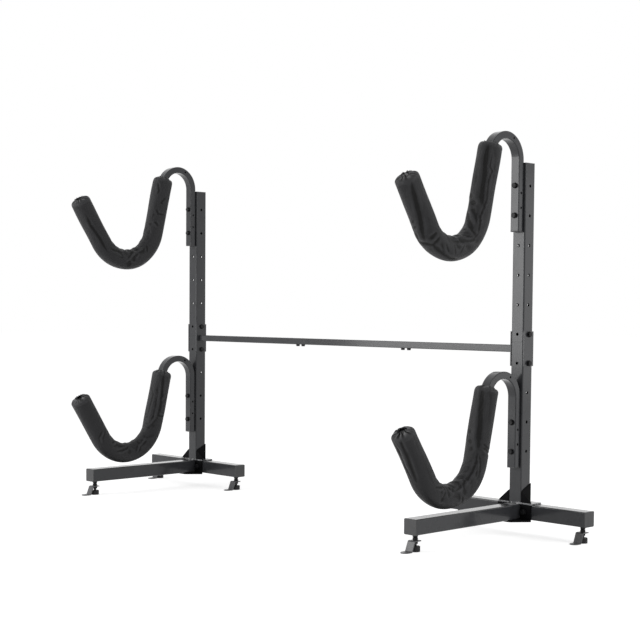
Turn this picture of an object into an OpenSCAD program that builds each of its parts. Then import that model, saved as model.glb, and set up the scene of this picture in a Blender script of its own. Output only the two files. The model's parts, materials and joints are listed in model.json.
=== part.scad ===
// Freestanding rack for two boats: two square posts on three-legged bases, tied by a crossbar
// in three sections, with four padded cradle hooks bolted to the front of the posts.
// X runs along the crossbar, the hooks point towards -Y, and the floor is z = 0. The origin is
// in the middle of the space that the rack takes up on the floor.

/* [Posts] */
// Distance between the two posts, centre to centre
post_span = 1750; // [1300:10:2200]
// Outer width of the square post tube
post_w = 51; // [45:1:60]
// Wall thickness of the post tube
post_wall = 2; // [1.5:0.5:3]
// Outer corner radius of the post tube
post_corner = 4; // [3:0.5:6]
// Length of the upper post section
upper_len = 600; // [560:5:650]
// Length of the lower post section
lower_len = 545; // [540:5:640]
// Distance between neighbouring holes in the posts
hole_pitch = 100; // [90:1:104]
// Distance from the top of a post section to its first hole
hole_inset = 74; // [60:1:80]
// Diameter of the bolts through the posts
bolt_d = 10; // [8:1:10]
// Gap between a bolt and its hole, on the radius
bolt_gap = 0.25; // [0.1:0.05:0.5]

/* [Splices] */
// Thickness of the plates that join the post sections
splice_t = 4; // [3:0.5:6]
// Distance from a splice bolt to the end of its plate
splice_edge = 10; // [10:0.5:15]

/* [Crossbar] */
// Outer width of the square crossbar tube
bar_w = 25; // [22:1:32]
// Wall thickness of the crossbar tube
bar_wall = 2; // [1.5:0.25:2.5]
// Outer corner radius of the crossbar tube
bar_corner = 2.5; // [2.5:0.25:4]
// Length of the middle section of the crossbar
bar_middle_len = 566; // [400:2:700]
// Length of each inner spigot, half of it in either section
spigot_len = 200; // [180:5:260]
// Gap between a spigot and the tube around it, per side
spigot_gap = 0.3; // [0.2:0.05:0.5]
// Distance from a joint to its nearer screw
screw_inset = 45; // [35:1:55]
// Distance between the two screws of a joint
screw_pitch = 30; // [20:1:34]
// Diameter of the crossbar screws
screw_d = 8; // [6:1:8]

/* [Hooks] */
// Width of the hook tube along the crossbar direction
hook_w = 35; // [30:1:40]
// Depth of the hook tube, measured across its bend
hook_d = 25; // [20:1:25]
// Wall thickness of the hook tube
hook_wall = 2; // [1.5:0.25:2.5]
// Outer corner radius of the hook tube
hook_corner = 3; // [2.75:0.25:5]
// Straight shank above the upper bolt, up to the bend
shank_rise = 85; // [78:1:110]
// Least gap between the lower pads and the legs under them
pad_clear = 17; // [8:1:40]
// Shank below the lower bolt
shank_tail = 52; // [30:1:70]
// Centreline radius of the arch over the top
arch_r = 77; // [66:1:90]
// Outward lean of the near leg, in degrees
near_lean = 13.5; // [8:0.5:22]
// Straight length of the near leg
near_len = 220; // [180:2:260]
// Centreline radius of the cradle bottom
cradle_r = 143; // [125:1:165]
// Outward lean of the far leg, in degrees
far_lean = 32.5; // [20:0.5:40]
// Straight length of the far leg
far_len = 176; // [120:2:210]
// Diameter of the small side holes in the hook tube
side_hole_d = 8; // [5:0.5:9]
// Place of the side hole in the arch, in degrees up from the post's side
arch_hole_at = 64; // [40:1:120]

/* [Pads] */
// Outer diameter of a padded sleeve
pad_d = 80; // [74:1:90]
// Thickness of a sleeve's cloth, with its soft backing
cloth_t = 2.8; // [2.5:0.1:3.5]
// Gap between the corners of the hook tube and the foam around it
foam_gap = 1.6; // [0.5:0.1:3]
// Distance from the end of the arch to the near end of the sleeve
pad_start = 2; // [0:1:40]
// How far the sleeve runs past the tip of the hook tube
pad_over = 13; // [10:1:20]
// How far the gathered mouth of a sleeve stands off the corners of the hook tube
mouth_gap = 3.2; // [2.5:0.1:5]
// Depth of the folds at the inner bend of a sleeve
fold_depth = 1.4; // [0.5:0.1:1.6]

/* [Bases] */
// Height of the underside of the legs above the floor
leg_clear = 55; // [52:1:65]
// Outer width of the square leg tube
leg_w = 51; // [45:1:55]
// Wall thickness of the leg tube
leg_wall = 2; // [1.5:0.5:3]
// Outer corner radius of the leg tube
leg_corner = 4; // [3:0.5:6]
// Length of the cross tube, without its end plugs
cross_len = 569; // [480:1:700]
// Distance from the post's centre to the end of the long leg's tube
long_reach = 554; // [450:1:700]
// Distance from a foot's stud to the end of its leg's tube
foot_inset = 22.5; // [18:0.5:30]
// Thickness of the flange of a tube's end plug
plug_t = 3; // [2:0.5:4]
// Margin of the plate under a post, in front of and behind the post
plate_margin = 2.5; // [1:0.5:6]
// Margin of the plate under a post, beyond the ribs at its sides
plate_end_margin = 5.5; // [3:0.5:10]
// Thickness of the plate under a post
plate_t = 5; // [4:0.5:8]
// Length of a gusset's rib, out from the post
rib_len = 42; // [30:1:50]
// Height of a gusset's rib, and of its cheek at the front of the post
rib_h = 37; // [28:1:45]
// Height of a gusset's cheek at the back of the post
cheek_h = 62; // [50:1:80]
// Thickness of the gusset sheet
gusset_t = 3; // [2:0.5:4]
// Thickness of the flange that bolts the long leg to the cross tube
flange_t = 5; // [4:0.5:8]
// Thickness of the plate under the leg joint's flange
corner_plate_t = 6; // [4:0.5:8]
// How far that plate runs along the long leg
corner_plate_run = 55; // [40:1:80]
// Distance of the leg joint's bolts from the side of the long leg
joint_bolt_gap = 16; // [14:0.5:24]
// Distance from the leg joint's bolts to the ends of its flange
joint_edge = 28; // [20:1:40]

/* [Feet] */
// Diameter of the threaded foot stud
stud_d = 10; // [8:1:11]
// Diameter of the foot's glide
glide_d = 32; // [28:1:36]
// Height of the foot's glide
glide_h = 18; // [14:1:20]
// How far a foot can be screwed out
foot_travel = 12; // [5:1:14]
// Width of the floor bracket on a foot
bracket_w = 30; // [26:1:34]
// Thickness of the floor bracket's sheet
bracket_t = 3; // [2:0.5:4]
// Reach of the floor bracket in front of the stud
bracket_reach = 62; // [55:1:80]
// Diameter of the screw hole in the floor bracket
anchor_hole_d = 8; // [5:0.5:10]
// Inner radius of the bracket's bends
bracket_bend_r = 3; // [2:0.5:4]

/* [Hidden] */
$fn = 64;
SIDES = ["left", "right"];
ROWS = ["upper", "lower"];
LEGS = ["front", "inner", "outer"];

black = "#26272a";
black_dark = "#1a1b1d";
plastic = "#141517";
cloth = "#2b2d31";
foam = "#3a3b3e";
zinc = "#1c1d1f";

half_turn = 180;

// Hook path, in the plane x = 0, with the upper bolt at y = 0, z = 0
hook_out = post_w / 2 + hook_d / 2;
arch_c = [-arch_r, shank_rise];
near_top = arch_c + arch_r * [-cos(near_lean), sin(near_lean)];
near_low = near_top - near_len * [sin(near_lean), cos(near_lean)];
cradle_c = near_low + cradle_r * [-cos(near_lean), sin(near_lean)];
cradle_turn = half_turn - near_lean - far_lean;
far_low = cradle_c - cradle_r * [cos(far_lean), sin(far_lean)];
far_dir = [-sin(far_lean), cos(far_lean)];
hook_tip = far_low + far_len * far_dir;

// Heights
leg_top = leg_clear + leg_w;
post_foot = leg_top + plate_t;
post_joint = post_foot + lower_len;
post_top = post_joint + upper_len;

// The lower hook hangs as low as its pad may, and the other holes of its post follow from its bolts
hook_drop = cradle_r + pad_d / 2 - cradle_c[1];
lower_first = round(leg_top + pad_clear + hook_drop) - hole_pitch;
hole_edge = 20;
upper_holes = floor((upper_len - hole_inset - hole_edge) / hole_pitch) + 1;
lower_holes = floor((post_joint - hole_edge - lower_first) / hole_pitch) + 1;
function upper_hole_z(i) = post_top - hole_inset - i * hole_pitch;
function lower_hole_z(i) = lower_first + (lower_holes - 1 - i) * hole_pitch;
function hook_z(row) = row == "upper" ? upper_hole_z(0) : lower_first + hole_pitch;
hole_d = bolt_d + 2 * bolt_gap;

// A splice spans the last hole of the upper section and the first of the lower one
splice_top_bolt = upper_hole_z(upper_holes - 1);
splice_low_bolt = lower_hole_z(0);
splice_mid = (splice_top_bolt + splice_low_bolt) / 2;
splice_len = splice_top_bolt - splice_low_bolt + 2 * splice_edge;

// Crossbar
bar_end = post_span / 2 - post_w / 2 - splice_t;
bar_seam = bar_middle_len / 2;
spigot_w = bar_w - 2 * bar_wall - 2 * spigot_gap;
spigot_wall = 2;

// Fasteners
// Heights and widths across flats are given as multiples of the thread's diameter
head_ratio = 0.64;
nut_ratio = 0.84;
flats_ratio = 1.6;
washer_t = 2;
nut_h = nut_ratio * bolt_d;
thread_gap = 0.05;
bolt_tail = 3;

// Straights lap over bends by this much, and bends are this much thinner on each side of the wall
lap = 0.2;
shave = 0.01;
foam_shave = 0.3;

function side_x(side) = (side == "left" ? -1 : 1) * post_span / 2;
hook_tube_r = norm([hook_w / 2 - hook_corner, hook_d / 2 - hook_corner]) + hook_corner;

// Pads
cradle_arc = PI * cradle_r * cradle_turn / half_turn;
near_pad = near_len - pad_start;
pad_len = near_pad + cradle_arc + far_len + pad_over;
sleeve_sides = 18;
sleeve_skin = 40;
sleeve_lining = 22;
dome = 15;
foam_inset = 12;
mouth_r = hook_tube_r + mouth_gap;
lining_r = pad_d / 2 - cloth_t;
foam_r = lining_r * cos(half_turn / sleeve_sides) - 1;
foam_bore_r = hook_tube_r + foam_gap;

// Legs and feet
foot_spots = [[0, -long_reach + foot_inset], [cross_len / 2 - foot_inset, 0],
    [-cross_len / 2 + foot_inset, 0]];
function foot_xy(leg, side) = let (inner = side == "left" ? 1 : 2, outer = 3 - inner)
    leg == "front" ? foot_spots[0] : leg == "inner" ? foot_spots[inner] : foot_spots[outer];
stud_nut_h = nut_ratio * stud_d;
stud_top = leg_top - leg_wall - 10;
stud_root = 5;
insert_d = stud_d + 5;
insert_h = 22;
clamp_gap = 0.2;
swivel_gap = 0.08;
bracket_top = leg_clear - 2 * stud_nut_h - 2;
floor_gap = 0.5;

// Post foot and leg joint
plate_w = post_w + 2 * plate_margin;
plate_len = post_w + 2 * (rib_len + plate_end_margin);
joint_bolt_x = leg_w / 2 + joint_bolt_gap;
joint_bolt_z = leg_clear + leg_w / 2;

// Point and direction of the pad's centreline at distance s from its near end
function pad_point(s) =
    s < near_pad ? near_low + (near_pad - s) * [sin(near_lean), cos(near_lean)]
    : s < near_pad + cradle_arc ? cradle_c + cradle_r * [cos(pad_turn(s)), sin(pad_turn(s))]
    : far_low + (s - near_pad - cradle_arc) * far_dir;
function pad_turn(s) = -near_lean - min(max(s - near_pad, 0), cradle_arc) / cradle_arc * cradle_turn;

// Ring of points around the centreline; the angle 0 points to the inside of the cradle
function pad_ring(s, radii, lifts) =
    let (c = pad_point(s), a = pad_turn(s), inward = [-cos(a), -sin(a)], ahead = [sin(a), -cos(a)])
    [for (i = [0:sleeve_sides - 1])
        let (t = 360 * i / sleeve_sides, q = c + radii[i] * cos(t) * inward + lifts[i] * ahead)
        [radii[i] * sin(t), q[0], q[1]]];

// The cloth stands in short folds across the inside of the bend, and lies smooth outside it
function fold(s, t) =
    let (mid = near_pad + cradle_arc / 2, near_mid = max(0, 1 - abs(s - mid) / (0.62 * cradle_arc)))
    fold_depth * near_mid * pow(max(0, cos(t)), 0.7) * cos(360 * s / 41 + 60 * sin(2 * t));

// Long slack creases that run along the straight legs
function crease(s, t) = 0.35 * cos(3 * t + s / 2.2) + 0.25 * cos(5 * t - s / 1.7);

function skin_radii(s) =
    [for (i = [0:sleeve_sides - 1])
        let (t = 360 * i / sleeve_sides, e = min(s, pad_len - s), k = min(1, e / dome))
        mouth_r + (pad_d / 2 - mouth_r) * sqrt(1 - pow(1 - k, 2))
            + (e < dome ? 0.8 * pow(-1, i) * (1 - k) : fold(s, t) + crease(s, t))];
function skin_lifts(s) =
    let (e = min(s, pad_len - s), k = min(1, e / dome), sense = s < pad_len / 2 ? 1 : -1)
    [for (i = [0:sleeve_sides - 1]) sense * 1.6 * pow(-1, i) * (1 - k) * (e > 0 ? 1 : 0.4)];

function alike(v) = [for (i = [0:sleeve_sides - 1]) v];

// Stations of the outer skin: close together in the two gathered ends
skin_ends = [0, 1.2, 4.5, 9.5, 15];
skin_body = sleeve_skin - 2 * len(skin_ends);
skin_s = concat(skin_ends,
    [for (i = [1:skin_body]) dome + (pad_len - 2 * dome) * i / (skin_body + 1)],
    [for (i = [len(skin_ends) - 1:-1:0]) pad_len - skin_ends[i]]);

// Stations of the lining, from the far end back to the near one
lining_ends = [4, 11];
lining_arc = 13;
lining_s = concat(
    [for (e = lining_ends) pad_len - e],
    [for (i = [3:-1:1]) near_pad + cradle_arc + (far_len + pad_over - 11) * i / 4],
    [for (i = [lining_arc - 1:-1:0]) near_pad + cradle_arc * i / (lining_arc - 1)],
    [for (i = [2:-1:1]) near_pad * i / 3],
    [for (i = [len(lining_ends) - 1:-1:0]) lining_ends[i]]);
function lining_radius(s) = let (e = min(s, pad_len - s)) e < 5 ? mouth_r - 0.6 : lining_r;

sleeve_rings = concat(
    [for (s = skin_s) pad_ring(s, skin_radii(s), skin_lifts(s))],
    [for (s = lining_s)
        pad_ring(s, alike(lining_radius(s)), alike(0))]);

// The origin is on the floor, midway between the front of the pads and the back of the nuts
front_y = min([for (r = sleeve_rings) for (p = r) p[1]]) - hook_out;
back_y = post_w / 2 + washer_t + nut_h + bolt_tail;
post_y = round(-(front_y + back_y) / 2);

// ---------- shared shapes ----------

// Rectangle with round corners, centred
module outline(w, d, r) {
    square([w - 2 * r, d], center = true);
    square([w, d - 2 * r], center = true);
    for (x = [-1, 1], y = [-1, 1])
        translate([x * (w / 2 - r), y * (d / 2 - r)])
            circle(r);
}

// Section of a rectangular tube; shave thins the wall from both of its sides
module tube_section(w, d, wall, r, shave = 0) {
    difference() {
        outline(w - 2 * shave, d - 2 * shave, r - shave);
        outline(w - 2 * (wall - shave), d - 2 * (wall - shave), inner_radius(r, wall) + shave);
    }
}

// Inner corner radius of a tube, a little rounder than the wall alone would leave
function inner_radius(r, wall) = r - wall + 0.5;

// Square tube that starts at the origin and runs along +Z
module square_tube(w, wall, r, len) {
    linear_extrude(len)
        tube_section(w, w, wall, r);
}

// Turns what runs along +Z to run along +X, from the given x
module along_x(from) {
    translate([from, 0, 0])
        rotate([0, 90, 0])
            children();
}

module drill_x(len, d) {
    rotate([0, 90, 0])
        cylinder(d = d, h = len, center = true);
}

module drill_y(len, d) {
    rotate([90, 0, 0])
        cylinder(d = d, h = len, center = true);
}

// Hexagonal prism with both ends chamfered, standing on z = 0
module hexagon(af, h) {
    corner = af / cos(30);
    chamfer_d = 0.95 * af;
    intersection() {
        cylinder(d = corner, h = h, $fn = 6);
        union() {
            cylinder(d1 = chamfer_d, d2 = chamfer_d + h, h = h / 2);
            translate([0, 0, h / 2])
                cylinder(d1 = chamfer_d + h, d2 = chamfer_d, h = h / 2);
        }
    }
}

// Bolt along +Z: washer face at z = 0, head below it, and a shank of length len above
module bolt(d, len) {
    translate([0, 0, -washer_t - head_ratio * d])
        hexagon(flats_ratio * d, head_ratio * d);
    translate([0, 0, -washer_t])
        cylinder(d = 2 * d, h = washer_t);
    translate([0, 0, -washer_t])
        cylinder(d = d, h = len + washer_t);
}

// Nut without a washer, standing on z = 0
module plain_nut(d) {
    difference() {
        hexagon(flats_ratio * d, nut_ratio * d);
        translate([0, 0, -1])
            cylinder(r = d / 2 + thread_gap, h = nut_ratio * d + 2);
    }
}

// Nut on its washer, standing on z = 0
module nut(d) {
    difference() {
        cylinder(d = 2 * d, h = washer_t);
        translate([0, 0, -1])
            cylinder(r = d / 2 + thread_gap, h = washer_t + 2);
    }
    translate([0, 0, washer_t])
        plain_nut(d);
}

// Plastic plug for a rectangular tube: a flange below z = 0 and a body above it
module plug(w, d, wall, r, depth) {
    fit = 0.25;
    translate([0, 0, -plug_t])
        linear_extrude(plug_t)
            outline(w, d, r);
    linear_extrude(depth)
        outline(w - 2 * (wall + fit), d - 2 * (wall + fit), inner_radius(r, wall));
}

// Places children at the foot of a post, on the floor
module at_post(side) {
    translate([side_x(side), post_y, 0])
        children();
}

// ---------- posts ----------

module post_section(side, foot, len, holes) {
    color(black)
        at_post(side)
            difference() {
                translate([0, 0, foot])
                    square_tube(post_w, post_wall, post_corner, len);
                for (z = holes)
                    translate([0, 0, z]) {
                        drill_x(2 * post_w, hole_d);
                        drill_y(2 * post_w, hole_d);
                    }
            }
}

module post_lower(side) {
    post_section(side, post_foot, lower_len, [for (i = [0:lower_holes - 1]) lower_hole_z(i)]);
}

module post_upper(side) {
    post_section(side, post_joint, upper_len, [for (i = [0:upper_holes - 1]) upper_hole_z(i)]);
}

// ---------- splices ----------

// Plate on one of the post's side faces: face is 1 for the +X one and -1 for the -X one
module splice_plate(side, face) {
    color(black)
        at_post(side)
            translate([face * (post_w + splice_t) / 2, 0, splice_mid])
                difference() {
                    cube([splice_t, post_w, splice_len], center = true);
                    for (z = [splice_low_bolt, splice_top_bolt])
                        translate([0, 0, z - splice_mid])
                            drill_x(3 * splice_t, hole_d);
                }
}

// Direction from a post towards the other one
function inward(side) = side == "left" ? 1 : -1;

module splice_inner(side) {
    splice_plate(side, inward(side));
}

module splice_outer(side) {
    splice_plate(side, -inward(side));
}

module splice_bolts() {
    grip = post_w + 2 * splice_t;
    color(zinc)
        for (s = SIDES, z = [splice_low_bolt, splice_top_bolt])
            at_post(s)
                translate([grip / 2, 0, z])
                    rotate([0, -90, 0])
                        bolt(bolt_d, grip + washer_t + nut_h + bolt_tail);
}

// ---------- crossbar ----------

module at_bar() {
    translate([0, post_y, splice_mid])
        children();
}

// Heads of the crossbar's screws are underneath, both to the right of each seam
function screw_xs(seam) = [seam + screw_inset, seam + screw_inset + screw_pitch];

module bar_piece(from, to, screws) {
    color(black)
        at_bar()
            difference() {
                along_x(from)
                    square_tube(bar_w, bar_wall, bar_corner, to - from);
                for (x = screws)
                    translate([x, 0, -bar_w / 2])
                        cylinder(d = screw_d + 2 * bolt_gap, h = 3 * bar_wall, center = true);
            }
}

module crossbar_left() {
    bar_piece(-bar_end, -bar_seam, []);
}

module crossbar_middle() {
    bar_piece(-bar_seam, bar_seam, screw_xs(-bar_seam));
}

module crossbar_right() {
    bar_piece(bar_seam, bar_end, screw_xs(bar_seam));
}

module crossbar_spigots() {
    color(black_dark)
        at_bar()
            for (seam = [-bar_seam, bar_seam])
                difference() {
                    along_x(seam - spigot_len / 2)
                        square_tube(spigot_w, spigot_wall, spigot_wall, spigot_len);
                    for (x = screw_xs(seam))
                        translate([x, 0, -spigot_w / 2])
                            cylinder(r = screw_d / 2 + thread_gap, h = 3 * spigot_wall, center = true);
                }
}

module crossbar_screws() {
    reach = (bar_w + spigot_w) / 2 - spigot_wall - 1;
    color(zinc)
        at_bar()
            for (seam = [-bar_seam, bar_seam], x = screw_xs(seam))
                translate([x, 0, -bar_w / 2])
                    bolt(screw_d, reach);
}

// ---------- hooks ----------

// Places children with the middle of the hook's shank, at its upper bolt, at the origin
module at_hook(side, row) {
    at_post(side)
        translate([0, -hook_out, hook_z(row)])
            children();
}

// Straight stretch of a section, from point p in the YZ plane, tilted about X.
// It laps a little over the bends at its ends, whose walls are shaved to lie inside its own.
module stretch(p, tilt, len, lap_low = lap, lap_high = lap) {
    translate([0, p[0], p[1]])
        rotate([tilt, 0, 0])
            translate([0, 0, -lap_low])
                linear_extrude(len + lap_low + lap_high)
                    children();
}

// Bent stretch: centre c, radius r, from angle a0 through turn, measured from +Y towards +Z
module bend(c, r, a0, turn) {
    translate([0, c[0], c[1]])
        rotate([a0, 0, 0])
            rotate([90, 0, 90])
                rotate_extrude(angle = turn)
                    translate([r, 0])
                        rotate(90)
                            children();
}

module hook_section(shave = 0) {
    tube_section(hook_w, hook_d, hook_wall, hook_corner, shave);
}

module hook(side, row) {
    shank = hole_pitch + shank_tail + shank_rise;
    color(black)
        at_hook(side, row)
            difference() {
                union() {
                    stretch([0, shank_rise - shank], 0, shank, lap_low = 0)
                        hook_section();
                    bend(arch_c, arch_r, 0, half_turn - near_lean)
                        hook_section(shave);
                    stretch(near_low, -near_lean, near_len)
                        hook_section();
                    bend(cradle_c, cradle_r, far_lean - half_turn, cradle_turn)
                        hook_section(shave);
                    stretch(far_low, far_lean, far_len, lap_high = 0)
                        hook_section();
                }
                for (z = [0, -hole_pitch])
                    translate([0, 0, z])
                        drill_y(2 * hook_d, hole_d);
                for (z = [-hole_pitch / 4, -3 * hole_pitch / 4])
                    translate([0, 0, z])
                        drill_x(2 * hook_w, side_hole_d);
                translate(concat(0, arch_c + arch_r * [cos(arch_hole_at), sin(arch_hole_at)]))
                    drill_x(2 * hook_w, side_hole_d);
            }
}

module hook_bolts() {
    grip = hook_d + post_w;
    color(zinc)
        for (s = SIDES, r = ROWS, z = [0, -hole_pitch])
            at_hook(s, r)
                translate([0, -hook_d / 2, z])
                    rotate([-90, 0, 0])
                        bolt(bolt_d, grip + washer_t + nut_h + bolt_tail);
}

module hook_plugs() {
    depth = 14;
    color(plastic)
        for (s = SIDES, r = ROWS)
            at_hook(s, r) {
                translate([0, 0, -hole_pitch - shank_tail])
                    plug(hook_w, hook_d, hook_wall, hook_corner, depth);
                translate([0, hook_tip[0], hook_tip[1]])
                    rotate([far_lean + half_turn, 0, 0])
                        plug(hook_w, hook_d, hook_wall, hook_corner, depth);
            }
}

// ---------- pads ----------

module foam_section(shave = 0) {
    difference() {
        circle(foam_r - shave);
        circle(foam_bore_r + shave);
    }
}

module pad_foam(side, row) {
    color(foam)
        at_hook(side, row) {
            stretch(near_low, -near_lean, near_pad - foam_inset, lap_high = 0)
                foam_section();
            bend(cradle_c, cradle_r, far_lean - half_turn, cradle_turn)
                foam_section(foam_shave);
            stretch(far_low, far_lean, far_len + pad_over - foam_inset, lap_high = 0)
                foam_section();
        }
}

// Closed skin over rings that run out over the sleeve and back through its lining
module ring_skin(rings) {
    n = sleeve_sides;
    m = len(rings);
    polyhedron(
        points = [for (r = rings) for (p = r) p],
        faces = [for (k = [0:m - 1]) for (i = [0:n - 1]) for (half = [0, 1])
            let (a = k * n, c = ((k + 1) % m) * n, j = (i + 1) % n)
            half == 0 ? [a + i, a + j, c + j] : [a + i, c + j, c + i]],
        convexity = 8);
}

module pad_sleeve(side, row) {
    color(cloth)
        at_hook(side, row)
            ring_skin(sleeve_rings);
}

// ---------- bases ----------

// Hole under the end of a leg, for the threaded insert of a foot
module foot_bore(p) {
    fit = 0.3;
    translate([p[0], p[1], leg_clear])
        cylinder(d = insert_d + 2 * fit, h = 3 * leg_wall, center = true);
}

module cross_tube(side) {
    color(black)
        at_post(side)
            difference() {
                translate([0, 0, joint_bolt_z])
                    along_x(-cross_len / 2)
                        square_tube(leg_w, leg_wall, leg_corner, cross_len);
                for (x = [-joint_bolt_x, joint_bolt_x])
                    translate([x, 0, joint_bolt_z])
                        drill_y(2 * leg_w, hole_d);
                for (i = [1, 2])
                    foot_bore(foot_spots[i]);
            }
}

module long_leg(side) {
    root = leg_w / 2 + flange_t;
    color(black)
        at_post(side)
            difference() {
                translate([0, -root, joint_bolt_z])
                    rotate([90, 0, 0])
                        square_tube(leg_w, leg_wall, leg_corner, long_reach - root);
                foot_bore(foot_spots[0]);
            }
}

// Flange on the long leg's root, and the plate under it that steadies the leg
module leg_bracket(side) {
    half = joint_bolt_x + joint_edge;
    root = leg_w / 2 + flange_t;
    nose = root + corner_plate_run;
    color(black)
        at_post(side) {
            translate([-half, -root, leg_clear])
                difference() {
                    cube([2 * half, flange_t, leg_w]);
                    for (x = [-joint_bolt_x, joint_bolt_x])
                        translate([half + x, 0, leg_w / 2])
                            drill_y(4 * flange_t, hole_d);
                }
            translate([0, 0, leg_clear - corner_plate_t])
                linear_extrude(corner_plate_t)
                    polygon([[-half, -leg_w / 2], [half, -leg_w / 2], [half, -root],
                        [leg_w / 2, -nose], [-leg_w / 2, -nose], [-half, -root]]);
        }
}

module post_plate(side) {
    corner = 3;
    color(black)
        at_post(side)
            translate([0, 0, leg_top])
                linear_extrude(plate_t)
                    outline(plate_len, plate_w, corner);
}

// Folded sheet: a cheek on the post's side face, and a triangular rib standing out from it
module gusset() {
    blunt = 4;
    half = post_w / 2;
    translate([half, 0, post_foot]) {
        rotate([90, 0, 90])
            linear_extrude(gusset_t)
                polygon([[-half, 0], [half, 0], [half, cheek_h], [-half, rib_h]]);
        translate([0, gusset_t - half, 0])
            rotate([90, 0, 0])
                linear_extrude(gusset_t)
                    polygon([[0, 0], [rib_len, 0], [rib_len, blunt], [blunt, rib_h],
                        [0, rib_h]]);
    }
}

module gussets() {
    color(black_dark)
        for (s = SIDES)
            at_post(s) {
                gusset();
                mirror([1, 0, 0])
                    gusset();
            }
}

module joint_bolts() {
    grip = leg_w + flange_t;
    color(zinc)
        for (s = SIDES, x = [-joint_bolt_x, joint_bolt_x])
            at_post(s)
                translate([x, -leg_w / 2 - flange_t, joint_bolt_z])
                    rotate([-90, 0, 0])
                        bolt(bolt_d, grip + washer_t + nut_h + bolt_tail);
}

// Every nut of the through bolts, on the side away from the bolt's head
module bolt_nuts() {
    color(zinc)
        for (s = SIDES) {
            at_post(s) {
                for (z = [splice_low_bolt, splice_top_bolt])
                    translate([-post_w / 2 - splice_t, 0, z])
                        rotate([0, -90, 0])
                            nut(bolt_d);
                for (x = [-joint_bolt_x, joint_bolt_x])
                    translate([x, leg_w / 2, joint_bolt_z])
                        rotate([-90, 0, 0])
                            nut(bolt_d);
            }
            for (r = ROWS, z = [0, -hole_pitch])
                at_hook(s, r)
                    translate([0, hook_d / 2 + post_w, z])
                        rotate([-90, 0, 0])
                            nut(bolt_d);
        }
}

// Plugs in the tops of the posts and in the ends of the legs
module tube_plugs() {
    post_depth = 16;
    leg_depth = 8;
    color(plastic)
        for (s = SIDES)
            at_post(s) {
                translate([0, 0, post_top])
                    rotate([half_turn, 0, 0])
                        plug(post_w, post_w, post_wall, post_corner, post_depth);
                translate([0, -long_reach, joint_bolt_z])
                    rotate([-90, 0, 0])
                        plug(leg_w, leg_w, leg_wall, leg_corner, leg_depth);
                for (end = [-1, 1])
                    translate([end * cross_len / 2, 0, joint_bolt_z])
                        rotate([0, -end * 90, 0])
                            plug(leg_w, leg_w, leg_wall, leg_corner, leg_depth);
            }
}

// ---------- feet ----------

// Threaded inserts in the undersides of the legs
module leg_inserts() {
    collar_d = insert_d + 6;
    collar_t = 2;
    color(zinc)
        for (s = SIDES, p = foot_spots)
            at_post(s)
                translate([p[0], p[1], leg_clear])
                    difference() {
                        union() {
                            cylinder(d = insert_d, h = insert_h);
                            translate([0, 0, leg_wall])
                                cylinder(d = collar_d, h = collar_t);
                        }
                        translate([0, 0, -1])
                            cylinder(r = stud_d / 2 + thread_gap, h = insert_h + 2);
                    }
}

module at_foot(leg, side) {
    at_post(side)
        translate(foot_xy(leg, side))
            children();
}

// Threaded stud, with the two nuts that clamp the floor bracket and one that locks the foot
module stud(leg, side) {
    color(zinc)
        at_foot(leg, side) {
            translate([0, 0, stud_root])
                cylinder(d = stud_d, h = stud_top - stud_root);
            for (z = [bracket_top - bracket_t - stud_nut_h - clamp_gap, bracket_top + clamp_gap,
                leg_clear - stud_nut_h - clamp_gap])
                translate([0, 0, z])
                    plain_nut(stud_d);
        }
}

// Round glide with a soft upper edge, moulded on the end of the stud
module glide(leg, side) {
    edge = 2.5;
    r = glide_d / 2;
    color(plastic)
        at_foot(leg, side)
            rotate_extrude()
                difference() {
                    union() {
                        square([r - 1, glide_h - edge]);
                        square([r - edge, glide_h]);
                        translate([0, 1])
                            square([r, glide_h - edge - 1]);
                        translate([r - edge, glide_h - edge])
                            circle(edge);
                    }
                    translate([0, stud_root])
                        square([stud_d / 2 + thread_gap, glide_h]);
                }
}

// Points of the arc that rounds the corner b of the path a, b, c with radius r
function round_corner(a, b, c, r, n = 6) =
    let (u = (a - b) / norm(a - b), v = (c - b) / norm(c - b), half = acos(u * v) / 2,
        o = b + (u + v) / norm(u + v) * r / sin(half),
        p = b + u * r / tan(half) - o, q = b + v * r / tan(half) - o,
        from = atan2(p[1], p[0]), turn = (atan2(q[1], q[0]) - from + 540) % 360 - 180)
    [for (i = [0:n]) o + r * [cos(from + turn * i / n), sin(from + turn * i / n)]];

// The floor bracket's sheet, side on: out from the stud, then up, along the middle of the sheet
function bracket_path() =
    let (high = bracket_top - bracket_t / 2, low = floor_gap + bracket_t / 2,
        r = bracket_bend_r + bracket_t / 2, tail = 12, brow = 17, toe = 30,
        a = [-tail, high], b = [brow, high], c = [toe, low], d = [bracket_reach, low])
    concat([a], round_corner(a, b, c, r), round_corner(b, c, d, r), [d]);

// One face of a sheet whose middle runs along the points p, at the distance t from it
function sheet_face(p, t) =
    [for (i = [0:len(p) - 1])
        let (a = p[max(i - 1, 0)], b = p[min(i + 1, len(p) - 1)], u = (b - a) / norm(b - a))
        p[i] + t * [-u[1], u[0]]];
function reversed(p) = [for (i = [len(p) - 1:-1:0]) p[i]];

// Bent sheet that hangs on the stud and reaches forward to be screwed to the floor
module bracket(leg, side) {
    mid = bracket_path();
    round_end = bracket_reach - bracket_w / 2;
    color(black)
        at_foot(leg, side)
            difference() {
                intersection() {
                    rotate([90, 0, -90])
                        linear_extrude(bracket_w, center = true)
                            polygon(concat(sheet_face(mid, bracket_t / 2),
                                reversed(sheet_face(mid, -bracket_t / 2))));
                    linear_extrude(2 * bracket_top) {
                        translate([-bracket_w / 2, -round_end])
                            square([bracket_w, bracket_reach]);
                        translate([0, -round_end])
                            circle(d = bracket_w);
                    }
                }
                cylinder(r = stud_d / 2 + swivel_gap, h = 2 * bracket_top);
                translate([0, -round_end, -1])
                    cylinder(d = anchor_hole_d, h = bracket_t + 5);
            }
}

// ---------- assembly ----------

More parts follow.
